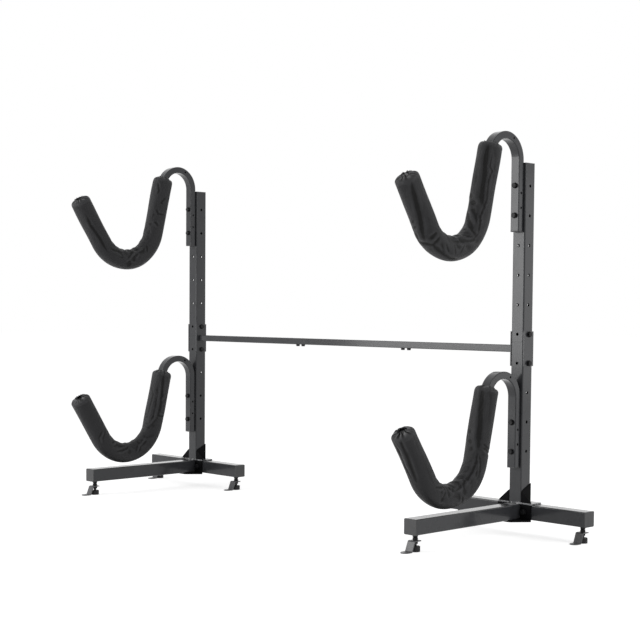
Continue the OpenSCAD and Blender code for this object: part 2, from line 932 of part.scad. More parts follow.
tube_plugs();
bolt_nuts();
splice_bolts();
hook_bolts();
joint_bolts();
hook_plugs();
crossbar_left();
crossbar_middle();
crossbar_right();
crossbar_spigots();
crossbar_screws();
gussets();
leg_inserts();
for (s = SIDES) {
    post_lower(s);
    post_upper(s);
    splice_inner(s);
    splice_outer(s);
    cross_tube(s);
    long_leg(s);
    post_plate(s);
    leg_bracket(s);
}
for (s = SIDES, r = ROWS) {
    hook(s, r);
    pad_foam(s, r);
    pad_sleeve(s, r);
}
for (s = SIDES, l = LEGS) {
    stud(l, s);
    glide(l, s);
    bracket(l, s);
}
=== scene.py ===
# %% [markdown]
# # A rack for two boats, dressed around its CAD frame
# The rack is a plain piece of workshop steel: square tube with a black powder coat, black bolts and
# plastic plugs, and four hooks in padded cloth sleeves. The steel comes from the CAD frame as it is
# and only needs its finishes. What Blender adds is the soft part, which no CAD solid can show well:
# cloth that wrinkles where the hook bends and gathers at its ends.

import json
import math

import bmesh
import bpy
import numpy as np
from mathutils import Matrix, Vector


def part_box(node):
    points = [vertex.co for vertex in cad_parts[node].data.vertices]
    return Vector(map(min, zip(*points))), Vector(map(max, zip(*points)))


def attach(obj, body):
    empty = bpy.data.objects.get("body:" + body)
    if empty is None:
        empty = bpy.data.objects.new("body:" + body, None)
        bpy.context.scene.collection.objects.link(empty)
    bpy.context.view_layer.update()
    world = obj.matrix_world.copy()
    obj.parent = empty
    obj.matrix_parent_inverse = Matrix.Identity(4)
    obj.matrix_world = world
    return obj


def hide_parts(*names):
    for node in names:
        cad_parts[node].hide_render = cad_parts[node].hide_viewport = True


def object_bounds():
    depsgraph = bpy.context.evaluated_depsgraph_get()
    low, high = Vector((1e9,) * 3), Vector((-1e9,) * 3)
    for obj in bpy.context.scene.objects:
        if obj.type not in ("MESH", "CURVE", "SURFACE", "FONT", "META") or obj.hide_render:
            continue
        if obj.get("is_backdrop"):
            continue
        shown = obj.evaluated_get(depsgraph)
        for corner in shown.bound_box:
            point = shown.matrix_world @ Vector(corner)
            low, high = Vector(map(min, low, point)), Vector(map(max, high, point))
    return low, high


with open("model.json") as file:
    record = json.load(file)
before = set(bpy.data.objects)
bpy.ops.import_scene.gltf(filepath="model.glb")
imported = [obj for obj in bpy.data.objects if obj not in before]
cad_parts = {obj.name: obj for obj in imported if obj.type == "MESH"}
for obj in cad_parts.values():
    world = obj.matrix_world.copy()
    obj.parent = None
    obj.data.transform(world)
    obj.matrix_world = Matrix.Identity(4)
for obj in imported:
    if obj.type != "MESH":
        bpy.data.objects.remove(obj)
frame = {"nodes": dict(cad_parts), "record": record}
cad_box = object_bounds()

# %% [markdown]
# ## The camera
# A catalogue photograph is taken with a long lens, here from about table height, and the picture is
# then cropped, so the lens axis doesn't pass through its middle. The vertical shift stands for that
# crop. The place, the three angles and the focal length were fitted to the posts, the legs and the
# crossbar, because long straight edges show a small error best.

# %% Camera
bpy.context.scene.view_settings.view_transform = "Standard"
SIDE_ANGLE, DOWN_ANGLE, ROLL = (math.radians(a) for a in (45.871, 2.949, 0.444))
CAMERA_PLACE = Vector((3.7365, -3.4359, 0.7658))
FOCAL_PIXELS, PICTURE_PIXELS, CENTRE_DROP_PIXELS = 1366.2, 640, 58.4
SENSOR_MM = 36.0


def link(obj):
    """Puts an object into the scene."""
    bpy.context.scene.collection.objects.link(obj)
    return obj


def aim(side, down, roll):
    """Columns right, up and back of a camera that looks round by side, down by down, and rolls."""
    ahead = Vector((-math.sin(side) * math.cos(down), math.cos(side) * math.cos(down), -math.sin(down)))
    level = Vector((math.cos(side), math.sin(side), 0))
    above = level.cross(ahead)
    right = level * math.cos(roll) + above * math.sin(roll)
    up = above * math.cos(roll) - level * math.sin(roll)
    return Matrix((right, up, -ahead)).transposed()


lens = bpy.data.cameras.new("camera")
lens.sensor_width = SENSOR_MM
lens.lens = FOCAL_PIXELS * SENSOR_MM / PICTURE_PIXELS
lens.shift_y = CENTRE_DROP_PIXELS / PICTURE_PIXELS
camera = link(bpy.data.objects.new("camera", lens))
camera.matrix_world = Matrix.Translation(CAMERA_PLACE) @ aim(SIDE_ANGLE, DOWN_ANGLE, ROLL).to_4x4()
bpy.context.scene.camera = camera
print("lens", round(lens.lens, 1), "mm, shift", round(lens.shift_y, 4))

# %% [markdown]
# ## The floor
# In a studio the rack stands on a pale sheet that runs on out of the picture. White paint alone comes
# out grey, because a floor gives back less light than falls on it, and stronger lamps would bleach
# the rack. So the floor is plain paint with a faint glow added, which only background rays see: those
# from the camera, off shiny steel or through something clear. The paint under it keeps the shadow.

# %% A material's node tree
class Shader:
    """A material's node tree, with short ways to place and join nodes."""

    def __init__(self, name, surface=True):
        self.material = bpy.data.materials.new(name)
        self.material.use_nodes = True
        self.tree = self.material.node_tree
        self.tree.nodes.clear()
        self.out = self.node("ShaderNodeOutputMaterial")
        if surface:
            self.bsdf = self.node("ShaderNodeBsdfPrincipled")
            self.join(self.bsdf.outputs["BSDF"], self.out.inputs["Surface"])

    def node(self, kind, **settings):
        made = self.tree.nodes.new(kind)
        for key, value in settings.items():
            setattr(made, key, value)
        return made

    def join(self, a, b):
        self.tree.links.new(a, b)

    def set(self, **values):
        """Writes numbers on the shader's own sockets."""
        for key, value in values.items():
            self.bsdf.inputs[key.replace("_", " ")].default_value = value


# %% Rays that see the background
WHITE = (1, 1, 1, 1)


def background_rays(tree):
    """1 for a ray that sees the background: from the camera, off a shiny face or through a clear one."""
    rays = tree.nodes.new("ShaderNodeLightPath")
    sees = rays.outputs["Is Camera Ray"]
    for label in ("Is Glossy Ray", "Is Transmission Ray"):
        either = tree.nodes.new("ShaderNodeMath")
        either.operation = "MAXIMUM"
        tree.links.new(sees, either.inputs[0])
        tree.links.new(rays.outputs[label], either.inputs[1])
        sees = either.outputs[0]
    return sees


# %% Floor
FLOOR_HALF, FLOOR_PAINT, FLOOR_GLOW = 30, (0.93, 0.93, 0.93, 1), 0.62


def pale_floor():
    """The finish of the floor: paint for every ray, and the glow on top for background rays."""
    pale = Shader("floor_paint", surface=False)
    paint = pale.node("ShaderNodeBsdfDiffuse")
    paint.inputs["Color"].default_value = FLOOR_PAINT
    glow = pale.node("ShaderNodeEmission")
    glow.inputs["Color"].default_value = WHITE
    glow.inputs["Strength"].default_value = FLOOR_GLOW
    both = pale.node("ShaderNodeAddShader")
    pale.join(paint.outputs[0], both.inputs[0])
    pale.join(glow.outputs[0], both.inputs[1])
    pick = pale.node("ShaderNodeMixShader")
    pale.join(background_rays(pale.tree), pick.inputs[0])
    pale.join(paint.outputs[0], pick.inputs[1])
    pale.join(both.outputs[0], pick.inputs[2])
    pale.join(pick.outputs[0], pale.out.inputs["Surface"])
    return pale.material


sheet = bpy.data.meshes.new("floor")
spots = [(x * FLOOR_HALF, y * FLOOR_HALF, 0) for x, y in ((-1, -1), (1, -1), (1, 1), (-1, 1))]
sheet.from_pydata(spots, [], [(0, 1, 2, 3)])
sheet.materials.append(pale_floor())
floor = link(bpy.data.objects.new("floor", sheet))
floor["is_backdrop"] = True
print("floor", 2 * FLOOR_HALF, "m wide")

# %% [markdown]
# ## The sky
# Black steel shows itself by what it mirrors, so the room matters as much as the lamps. The sky is
# white to the camera and in reflections, as the walls of a white studio are. As a light on matt faces
# it is less than half as strong, because from all sides at once it would flatten every fold.

# %% Sky
SKY_AS_LIGHT = 0.42


def even_sky(tree, strength):
    """A white sky of one strength, as a shader's output."""
    made = tree.nodes.new("ShaderNodeBackground")
    made.inputs["Color"].default_value = WHITE
    made.inputs["Strength"].default_value = strength
    return made.outputs[0]


world = bpy.data.worlds.new("room")
bpy.context.scene.world = world
world.use_nodes = True
sky = world.node_tree
sky.nodes.clear()
sky_out = sky.nodes.new("ShaderNodeOutputWorld")
sky_mix = sky.nodes.new("ShaderNodeMixShader")
sky.links.new(background_rays(sky), sky_mix.inputs[0])
sky.links.new(even_sky(sky, SKY_AS_LIGHT), sky_mix.inputs[1])
sky.links.new(even_sky(sky, 1.0), sky_mix.inputs[2])
sky.links.new(sky_mix.outputs[0], sky_out.inputs["Surface"])
print("sky as a light:", SKY_AS_LIGHT)

# %% [markdown]
# ## The lamps
# Three softboxes do the rest. A black tube looks grey only where it mirrors something bright, so two
# of them stand where the right post's faces mirror them to the camera: the front one for faces on the
# open side of the hooks, the far one for faces that look outwards along the crossbar. The side one is
# a fill for the cloth. All are large, so that no shadow has a hard edge.

# %% Lamps
LAMPS_AIM_AT = Vector((0, 0, 0.7))


def softbox(name, place, size, watts):
    """A soft square area lamp that looks at the middle of the rack."""
    data = bpy.data.lights.new(name, "AREA")
    data.shape = "SQUARE"
    data.size = size
    data.energy = watts
    obj = link(bpy.data.objects.new(name, data))
    obj.location = place
    direction = LAMPS_AIM_AT - Vector(place)
    obj.rotation_euler = direction.to_track_quat("-Z", "Y").to_euler()
    return obj


lamps = [
    softbox("front_softbox", (-2.5, -4.1, 1.6), 2.6, 120),
    softbox("side_softbox", (4.6, 1.0, 2.4), 2.0, 45),
    softbox("far_softbox", (6.0, 7.2, 1.0), 2.0, 11),
]
print("lamps:", [lamp.name for lamp in lamps])

# %% [markdown]
# ## Effects shared by the finishes
# Powder coat, bare metal and plastic all have a fine grain, and all of them wear at their edges and
# catch a little dust. Written out in each material these would soon differ by accident. So each
# effect is one node group, built once, and each finish places it with its own values.

# %% Helpers for node groups
def group(name, inputs, outputs, gives="NodeSocketFloat"):
    """An empty shader node group, with inputs as name: default and outputs as names."""
    tree = bpy.data.node_groups.new(name, "ShaderNodeTree")
    for label, default in inputs.items():
        socket = tree.interface.new_socket(label, in_out="INPUT", socket_type="NodeSocketFloat")
        socket.default_value = default
    for label in outputs:
        tree.interface.new_socket(label, in_out="OUTPUT", socket_type=gives)
    return tree, tree.nodes.new("NodeGroupInput"), tree.nodes.new("NodeGroupOutput")


def feed(tree, value, socket):
    """Links another node's output to a socket, or writes a plain value into it."""
    if isinstance(value, bpy.types.NodeSocket):
        tree.links.new(value, socket)
    else:
        socket.default_value = value


def place_of(tree):
    """Where the surface is, in metres."""
    return tree.nodes.new("ShaderNodeTexCoord").outputs["Object"]


# %% Helpers for noise, sums and ramps
def noise(tree, vector, scale, detail=3.0, rough=0.55):
    made = tree.nodes.new("ShaderNodeTexNoise")
    made.inputs["Detail"].default_value = detail
    made.inputs["Roughness"].default_value = rough
    feed(tree, vector, made.inputs["Vector"])
    feed(tree, scale, made.inputs["Scale"])
    return made.outputs["Fac"]


def maths(tree, operation, a, b=None, clamp=False):
    made = tree.nodes.new("ShaderNodeMath")
    made.operation = operation
    made.use_clamp = clamp
    feed(tree, a, made.inputs[0])
    if b is not None:
        feed(tree, b, made.inputs[1])
    return made.outputs[0]


def ramp(tree, value, low, high, to_low=0.0, to_high=1.0):
    """A smooth step: to_low where the value is low, to_high where it is high."""
    made = tree.nodes.new("ShaderNodeMapRange")
    made.interpolation_type = "SMOOTHSTEP"
    for label, number in (("From Min", low), ("From Max", high), ("To Min", to_low), ("To Max", to_high)):
        made.inputs[label].default_value = number
    feed(tree, value, made.inputs["Value"])
    return made.outputs["Result"]


# %% [markdown]
# ### Grain
# Powder melts into a skin of fine pebbles, and moulded plastic copies the grain of its mould. A noise
# at the pebbles' size gives the height, and one fifty times as broad gives the slow change of shade
# that a large face always has.

# %% Grain
BROAD_SHARE = 0.02  # cloud spots for each pebble, along a line

grain, grain_in, grain_out = group("fine_grain", {"Size": 0.0012, "Unevenness": 0.5}, ["Height", "Cloud"])
pebbles_per_metre = maths(grain, "DIVIDE", 1.0, grain_in.outputs["Size"])
pebbles = noise(grain, place_of(grain), pebbles_per_metre, 2.0)
cloud = noise(grain, place_of(grain), maths(grain, "MULTIPLY", pebbles_per_metre, BROAD_SHARE))
lumps = maths(grain, "MULTIPLY", cloud, grain_in.outputs["Unevenness"])
grain.links.new(maths(grain, "ADD", pebbles, lumps), grain_out.inputs["Height"])
grain.links.new(cloud, grain_out.inputs["Cloud"])
print("grain:", len(grain.nodes), "nodes")

# %% [markdown]
# ### Edge wear
# A coat is thinnest on an edge and gets rubbed there first. An edge could be painted by hand, but a
# Bevel node finds it: where a rounded normal would turn away from the real one, the surface is near
# an edge. A noise breaks the line into patches, as knocks do.

# %% Edge wear
wear, wear_in, wear_out = group("edge_wear", {"Width": 0.0015, "Amount": 0.5}, ["Mask"])
rounded = wear.nodes.new("ShaderNodeBevel")
rounded.samples = 4
wear.links.new(wear_in.outputs["Width"], rounded.inputs["Radius"])
likeness = wear.nodes.new("ShaderNodeVectorMath")
likeness.operation = "DOT_PRODUCT"
wear.links.new(rounded.outputs[0], likeness.inputs[0])
wear.links.new(wear.nodes.new("ShaderNodeNewGeometry").outputs["Normal"], likeness.inputs[1])
near_edge = ramp(wear, likeness.outputs["Value"], 0.995, 0.9)
knocks = ramp(wear, noise(wear, place_of(wear), 70.0, 4.0), 0.42, 0.62)
worn = maths(wear, "MULTIPLY", near_edge, knocks)
worn = maths(wear, "MULTIPLY", worn, wear_in.outputs["Amount"], clamp=True)
wear.links.new(worn, wear_out.inputs["Mask"])
print("edge wear:", len(wear.nodes), "nodes")

# %% [markdown]
# ### Rolled corners
# No edge of a real rack is knife-sharp, and each one catches a thin line of light. The CAD tubes have
# their corner radius, but cut ends, plates and bolt heads are plain. The same Bevel node rounds their
# shading, without a new face.

# %% Rolled corners
corners, corners_in, corners_out = group(
    "rolled_corners", {"Radius": 0.002}, ["Normal"], gives="NodeSocketVector"
)
roll = corners.nodes.new("ShaderNodeBevel")
roll.samples = 6
corners.links.new(corners_in.outputs["Radius"], roll.inputs["Radius"])
corners.links.new(roll.outputs[0], corners_out.inputs["Normal"])
print("rolled corners:", len(corners.nodes), "nodes")

# %% [markdown]
# ### Dust
# Even a new rack has a light film on what faces up. The mask is the upward part of the normal, broken
# by a noise, because dust drifts and gets brushed off.

# %% Dust
DUST_COLOUR = (0.32, 0.31, 0.30)

dust, dust_in, dust_out = group("settled_dust", {"Amount": 0.3}, ["Mask"])
facing = dust.nodes.new("ShaderNodeSeparateXYZ")
dust.links.new(dust.nodes.new("ShaderNodeNewGeometry").outputs["Normal"], facing.inputs[0])
upward = ramp(dust, facing.outputs["Z"], 0.35, 0.95)
drift = ramp(dust, noise(dust, place_of(dust), 22.0, 5.0), 0.3, 0.75)
film = maths(dust, "MULTIPLY", upward, drift)
film = maths(dust, "MULTIPLY", film, dust_in.outputs["Amount"], clamp=True)
dust.links.new(film, dust_out.inputs["Mask"])
print("node groups:", [g.name for g in bpy.data.node_groups])

# %% [markdown]
# ## One recipe for the hard finishes
# Coat, plating and moulded plastic differ in colour, gloss and grain, but they are layered in the
# same order: a colour that varies a little, bare material at the worn edges, and dust on top. So one
# function builds them all. A clear coat over a dull base gives powder coat its look: dark when seen
# from the front, and nearly a mirror along the top of a leg, at a grazing angle.

# %% Helpers for finishes
def use(shader, tree, **values):
    """Places a node group in a material and sets its inputs."""
    made = shader.node("ShaderNodeGroup")
    made.node_tree = tree
    for key, value in values.items():
        made.inputs[key].default_value = value
    return made


def mixed(shader, mask, under, over):
    """A colour that goes from under to over with a mask. Under is a colour or another node's output."""
    made = shader.node("ShaderNodeMix", data_type="RGBA")
    shader.join(mask, made.inputs["Factor"])
    feed(shader.tree, (*under, 1) if isinstance(under, tuple) else under, made.inputs["A"])
    made.inputs["B"].default_value = (*over, 1)
    return made.outputs["Result"]


def bumped(shader, height, strength, depth, normal=None):
    """A normal that follows a height, on top of another normal if one is given."""
    made = shader.node("ShaderNodeBump")
    made.inputs["Strength"].default_value = strength
    made.inputs["Distance"].default_value = depth
    shader.join(height, made.inputs["Height"])
    if normal is not None:
        shader.join(normal, made.inputs["Normal"])
    return made.outputs["Normal"]


# %% The recipe
COAT_ROUGHNESS, COAT_IOR = 0.12, 1.3
GRAIN_DEPTH = 0.0003


def coated(
    name, low, high, bare, rough, grain_size, bump, wear_amount, dust_amount,
    wear_width=0.0012, corner=0.0008, metallic=0.0, specular=0.5, gloss=0.0,
):
    """A hard finish: a colour from low to high, bare edges, dust, and grain in its shine and bump."""
    shader = Shader(name)
    shader.set(Metallic=metallic, Specular_IOR_Level=specular)
    if gloss:
        shader.set(Coat_Weight=gloss, Coat_Roughness=COAT_ROUGHNESS, Coat_IOR=COAT_IOR)
    grains = use(shader, grain, Size=grain_size, Unevenness=0.6)
    edges = use(shader, wear, Width=wear_width, Amount=wear_amount)
    powder = use(shader, dust, Amount=dust_amount)
    colour = mixed(shader, grains.outputs["Cloud"], low, high)
    colour = mixed(shader, edges.outputs["Mask"], colour, bare)
    colour = mixed(shader, powder.outputs["Mask"], colour, DUST_COLOUR)
    shader.join(colour, shader.bsdf.inputs["Base Color"])
    roughness = ramp(shader.tree, grains.outputs["Cloud"], 0.3, 0.7, rough - 0.05, rough + 0.06)
    shader.join(roughness, shader.bsdf.inputs["Roughness"])
    rolled = use(shader, corners, Radius=corner).outputs["Normal"]
    normal = bumped(shader, grains.outputs["Height"], bump, GRAIN_DEPTH, rolled)
    shader.join(normal, shader.bsdf.inputs["Normal"])
    return shader.material


# %% [markdown]
# ## Powder coat
# Posts, legs, crossbar and hooks are sprayed with dry powder and baked, which leaves a satin skin with
# a faint orange peel. The foot plates have the same coat, and their sheared edges are pale: partly
# rubbed bare, partly a painted highlight where the edge catches the light. The gussets and the brackets
# under them sit in the shade, and a darker, dull copy of the coat with no shine paints that shade in.

# %% Powder coats
COAT_LOW, COAT_HIGH = (0.031, 0.032, 0.035), (0.044, 0.045, 0.049)
tube_values = {"rough": 0.3, "grain_size": 0.0011, "bump": 0.18, "dust_amount": 0.04}
tube_values.update(specular=0.1, gloss=1.0)

powder_coat = coated(
    "powder_coat", COAT_LOW, COAT_HIGH, bare=(0.12, 0.12, 0.125),
    wear_amount=0.35, corner=0.0028, **tube_values,
)
# Worn edges that are also a painted highlight: a pale bare colour with a wide, strong edge mask.
plate_coat_worn_and_highlit = coated(
    "plate_coat_worn_and_highlit", COAT_LOW, COAT_HIGH, bare=(0.6, 0.6, 0.61),
    wear_amount=4.0, wear_width=0.0045, corner=0.0015, **tube_values,
)
# Painted shade: a darker, dull copy of the powder coat.
painted_shade_coat = coated(
    "powder_coat_painted_shade", (0.0025, 0.0025, 0.003), (0.0045, 0.0045, 0.005), bare=(0.012, 0.012, 0.013),
    rough=0.6, grain_size=0.0011, bump=0.25, wear_amount=0.3, dust_amount=0.01, specular=0.05,
)
print("coats:", powder_coat.name, plate_coat_worn_and_highlit.name, painted_shade_coat.name)

# %% [markdown]
# ## Plated steel
# Bolts, nuts and studs are blackened, which leaves them much darker than powder coat, with a finer
# grain and little shine. The floor brackets are bent from strip and have a paler finish. The threaded
# inserts in the legs stay bare.

# %% Plated steel
fastener = coated(
    "black_fastener", (0.003, 0.003, 0.0035), (0.007, 0.007, 0.008), bare=(0.03, 0.03, 0.032),
    rough=0.42, grain_size=0.0007, bump=0.12, wear_amount=0.5, dust_amount=0.02, specular=0.2,
)
bracket_coat = coated(
    "bracket_coat", (0.075, 0.075, 0.078), (0.11, 0.11, 0.115), bare=(0.16, 0.16, 0.17),
    rough=0.36, grain_size=0.0009, bump=0.15, wear_amount=0.6, dust_amount=0.04, specular=0.4,
)
insert_steel = coated(
    "insert_steel", (0.42, 0.42, 0.44), (0.55, 0.55, 0.56), bare=(0.7, 0.7, 0.7),
    rough=0.4, grain_size=0.0008, bump=0.1, wear_amount=0.1, dust_amount=0.02, metallic=1.0,
)
print("steels:", fastener.name, bracket_coat.name, insert_steel.name)

# %% [markdown]
# ## Plastic and rubber
# The plugs that close the tubes are moulded plastic, a little greyer than the coat beside them. The
# glides under the feet look like hard rubber, nearly black. Both have a fine grain and no clear coat.

# %% Plastic and rubber
moulded = {"rough": 0.5, "grain_size": 0.0006, "bump": 0.3, "wear_amount": 0.15, "dust_amount": 0.06}
plastic = coated(
    "black_plastic", (0.034, 0.034, 0.035), (0.048, 0.048, 0.050), bare=(0.06, 0.06, 0.06), **moulded
)
moulded.update(rough=0.55, dust_amount=0.03, specular=0.3)
rubber = coated(
    "black_rubber", (0.006, 0.006, 0.0065), (0.011, 0.011, 0.0115), bare=(0.03, 0.03, 0.03), **moulded
)
print("mouldings:", plastic.name, rubber.name)

# %% [markdown]
# ## Every CAD node gets its finish
# The record names a material slot for each node, which settles most of them. A few nodes share a slot
# but look different on the rack, and are picked out by name.

# %% Finishes on the CAD nodes
FINISH_OF_SLOT = {
    "black_powder_coat": powder_coat,
    "black_fastener": fastener,
    "insert_steel": insert_steel,
    "black_plastic": plastic,
}
# By name: gussets and leg brackets get painted shade, the post plates painted edge highlights.
FINISH_BY_NAME = {
    "gussets": painted_shade_coat,
    "leg_bracket": painted_shade_coat,
    "post_plate": plate_coat_worn_and_highlit,
    "floor_bracket": bracket_coat,
    "glide": rubber,
}
slot_of = {part["node"]: part["material_slot"] for part in frame["record"]["subparts"]}


def finish_of(node):
    """A CAD node's finish: the one for its name if there is one, or else the one for its slot."""
    for start, finish in FINISH_BY_NAME.items():
        if node.startswith(start):
            return finish
    return FINISH_OF_SLOT.get(slot_of[node], powder_coat)


for name, obj in frame["nodes"].items():
    obj.data.materials.clear()
    obj.data.materials.append(finish_of(name))
print("painted", len(frame["nodes"]), "CAD nodes")

# %% [markdown]
# ## The path of a pad
# A pad is foam pushed over the hook tube, in a cloth sleeve. Foam and cloth both follow the tube's
# own centre line: a straight near leg, the round bottom of the cradle and a straight far leg. So the
# path comes first, as a function of the distance along it, and every ring of every soft piece is
# placed on it. The numbers repeat the CAD source, in metres, in the plane of the hook (y, z).

# %% Sizes of the path
ARCH_MIDDLE, ARCH_RADIUS = np.array([-0.077, 0.085]), 0.077
NEAR_LEAN, FAR_LEAN = math.radians(13.5), math.radians(32.5)
CRADLE_RADIUS, NEAR_STRAIGHT, FAR_STRAIGHT = 0.143, 0.220, 0.176
BELOW_ARCH, PAST_TUBE = 0.002, 0.013  # where the pad starts and how far it outruns the tube
SLEEVE_RADIUS = 0.0398

outwards = np.array([-math.cos(NEAR_LEAN), math.sin(NEAR_LEAN)])
downwards = np.array([-math.sin(NEAR_LEAN), -math.cos(NEAR_LEAN)])
CRADLE_MIDDLE = ARCH_MIDDLE + (ARCH_RADIUS + CRADLE_RADIUS) * outwards + NEAR_STRAIGHT * downwards
NEAR_LEG, FAR_LEG = NEAR_STRAIGHT - BELOW_ARCH, FAR_STRAIGHT + PAST_TUBE
BEND = CRADLE_RADIUS * (math.pi - NEAR_LEAN - FAR_LEAN)
PAD_LENGTH = NEAR_LEG + BEND + FAR_LEG
print("pad path", round(PAD_LENGTH * 1000, 1), "mm, bend", round(BEND * 1000, 1), "mm")

# %% [markdown]
# ### Where the hooks hang
# Each hook is bolted to its post at its own height. Its place could be typed in, but read off the
# hook's box in the frame it can't drift away from the CAD. As a test, the lowest cloth on the path is
# compared with the box of the CAD sleeve.

# %% Places of the four hooks
HOOK_NAMES = ["upper_left", "upper_right", "lower_left", "lower_right"]
HALF_TUBE = 0.0125  # half the hook tube's depth


def hook_origin(hook):
    """The point that a hook's sizes are measured from, on the middle line of its shank."""
    low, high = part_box("hook_" + hook)
    level = high.z - HALF_TUBE - ARCH_RADIUS - ARCH_MIDDLE[1]
    return Vector([round(v, 4) for v in ((low.x + high.x) / 2, high.y - HALF_TUBE, level)])


for hook in HOOK_NAMES:
    lowest = hook_origin(hook).z + CRADLE_MIDDLE[1] - CRADLE_RADIUS - SLEEVE_RADIUS
    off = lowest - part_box("pad_sleeve_" + hook)[0].z
    place = [round(v, 4) for v in hook_origin(hook)]
    print(hook, "hangs at", place, "and its path is off the CAD sleeve by", round(off * 1000, 2), "mm")

# %% Points on the path
STIFF_END = 0.3  # where a pad climbs on to the arch it turns only this share of the tube's bend


def on_path(s):
    """Centre, inward and forward directions in the hook's plane (y, z) at distances s."""
    s = np.asarray(s, float)
    turned = np.clip(s - NEAR_LEG, 0, BEND) / CRADLE_RADIUS
    climbed = np.maximum(-BELOW_ARCH - s, 0) / ARCH_RADIUS
    angle = -NEAR_LEAN - turned - STIFF_END * climbed
    inward = np.stack([-np.cos(angle), -np.sin(angle)], -1)
    forward = np.stack([np.sin(angle), -np.cos(angle)], -1)
    centre = CRADLE_MIDDLE - CRADLE_RADIUS * inward
    centre = centre + np.minimum(s - NEAR_LEG, 0)[..., None] * forward
    centre = centre + np.maximum(s - NEAR_LEG - BEND, 0)[..., None] * forward
    over = NEAR_LEAN + climbed
    on_arch = ARCH_MIDDLE + ARCH_RADIUS * np.stack([-np.cos(over), np.sin(over)], -1)
    return np.where((climbed > 0)[..., None], on_arch, centre), inward, forward


def around_path(s, turn, radius, lift=0.0):
    """Points at distance s, angle turn (0 is the inside of the cradle) and radius, pushed on by lift."""
    centre, inward, forward = on_path(s)
    flat = centre + (radius * np.cos(turn))[..., None] * inward + (lift + 0 * turn)[..., None] * forward
    return np.concatenate([(radius * np.sin(turn))[..., None], flat], -1)


# %% From rings to a mesh
def rings_to_mesh(name, rings):
    """A tube of quads from an array of rings, counted so that its faces look outwards."""
    count, sides = rings.shape[:2]
    first = np.arange(count - 1)[:, None] * sides
    here = np.arange(sides)[None, :]
    after = (here + 1) % sides
    quads = np.stack([first + here, first + sides + here, first + sides + after, first + after], -1)
    mesh = bpy.data.meshes.new(name)
    mesh.from_pydata(rings.reshape(-1, 3).tolist(), [], quads.reshape(-1, 4).tolist())
    mesh.polygons.foreach_set("use_smooth", np.ones(len(mesh.polygons), bool))
    return mesh


# %% [markdown]
# ## The cloth sleeve, before it is draped
# The sleeve is a sewn tube of woven cloth that elastic draws in at both ends. It is a little too wide
# for the foam, and a straight tube round a bend has cloth to spare on the inside. Such folds could be
# painted as bumps, but they have to show in the outline too. So the cloth is simulated, and it starts
# as a tube that is already pleated at its mouths and faintly rippled where folds belong, because a
# perfectly smooth tube has no reason to fold in one place rather than another.

# %% Stations of a sleeve
NEAR_MOUTH, FAR_MOUTH, SHOULDER = 0.0225, 0.0150, 0.016
SIDES, RINGS = 64, 190


def stations(climb, reach):
    """Distance, radius and run of each ring of a plain tube with round shoulders at both ends."""
    quarter = np.linspace(0, math.pi / 2, 60)
    near_s = -climb + SHOULDER * (1 - np.cos(quarter))
    far_s = PAD_LENGTH + reach - SHOULDER * (1 - np.cos(quarter))
    near_r = NEAR_MOUTH + (SLEEVE_RADIUS - NEAR_MOUTH) * np.sin(quarter)
    far_r = FAR_MOUTH + (SLEEVE_RADIUS - FAR_MOUTH) * np.sin(quarter)
    body = np.linspace(near_s[-1], far_s[-1], 400)[1:-1]
    s = np.concatenate([near_s, body, far_s[::-1]])
    r = np.concatenate([near_r, np.full(len(body), SLEEVE_RADIUS), far_r[::-1]])
    run = np.concatenate([[0], np.cumsum(np.hypot(np.diff(s), np.diff(r)))])
    even = np.linspace(0, run[-1], RINGS)
    return np.interp(even, run, s), np.interp(even, run, r), even


spacing = stations(0, 0)[2][1]
print("rings", round(spacing * 1000, 2), "mm apart,", round(2 * math.pi * SLEEVE_RADIUS * 1000), "mm round")

# %% [markdown]
# ## Creases put in one by one
# A solver finds folds of the right kind, but not the very ones that the sleeves had when the rack was
# photographed, such as the long valley down each near leg. These were looked up on the pads one by
# one. Each is a line on the cloth, and the cloth starts with a valley or a ridge along it. The ends of
# a line fade out and the banks beside a valley rise a little.

# %% One crease
FADE, LEAST = 0.22, 0.15  # share of a crease over which an end fades, and what is left at the very end
BANK_PLACE, BANK_SHARE = 1.9, 0.35  # how far out the banks lie, in widths, and their height
DEEP_MM = 4  # a crease as deep as this has the full shade


def nearest_on(S, T, spots):
    """Distance of each vertex from a line on the cloth, and how far along the line that is, 0 to 1."""
    nearest, part = np.full(S.shape, 1.0), np.zeros(S.shape)
    legs = [math.hypot(b[0] - a[0], (b[1] - a[1]) * SLEEVE_RADIUS) for a, b in zip(spots, spots[1:])]
    for k, ((s0, t0), (s1, t1)) in enumerate(zip(spots, spots[1:])):
        for lap in (-2 * math.pi, 0, 2 * math.pi):
            a, b = s1 - s0, (t1 - t0) * SLEEVE_RADIUS
            u, v = S - s0, (T + lap - t0) * SLEEVE_RADIUS
            share = np.clip((a * u + b * v) / (a * a + b * b), 0, 1)
            gap = np.hypot(u - share * a, v - share * b)
            part = np.where(gap < nearest, (sum(legs[:k]) + share * legs[k]) / sum(legs), part)
            nearest = np.minimum(nearest, gap)
    return nearest, part


def crease(S, T, points, width, depth):
    """How far a crease pushes each vertex, and its painted shade. Negative depth is a ridge, painted
    lighter.
    """
    nearest, part = nearest_on(S, T, [(s / 1000, math.radians(angle)) for s, angle in points])
    taper = np.clip(np.minimum(part, 1 - part) / FADE + LEAST, 0, 1)
    away = nearest / (width / 1000 * (0.55 + 0.45 * taper))
    depth = depth * taper * (0.85 + 0.15 * np.cos(90 * S + 2 * T))
    valley = np.exp(-away * away)
    push = depth / 1000 * (-valley + BANK_SHARE * np.exp(-((away - BANK_PLACE) ** 2)))
    return push, valley * depth / DEEP_MM


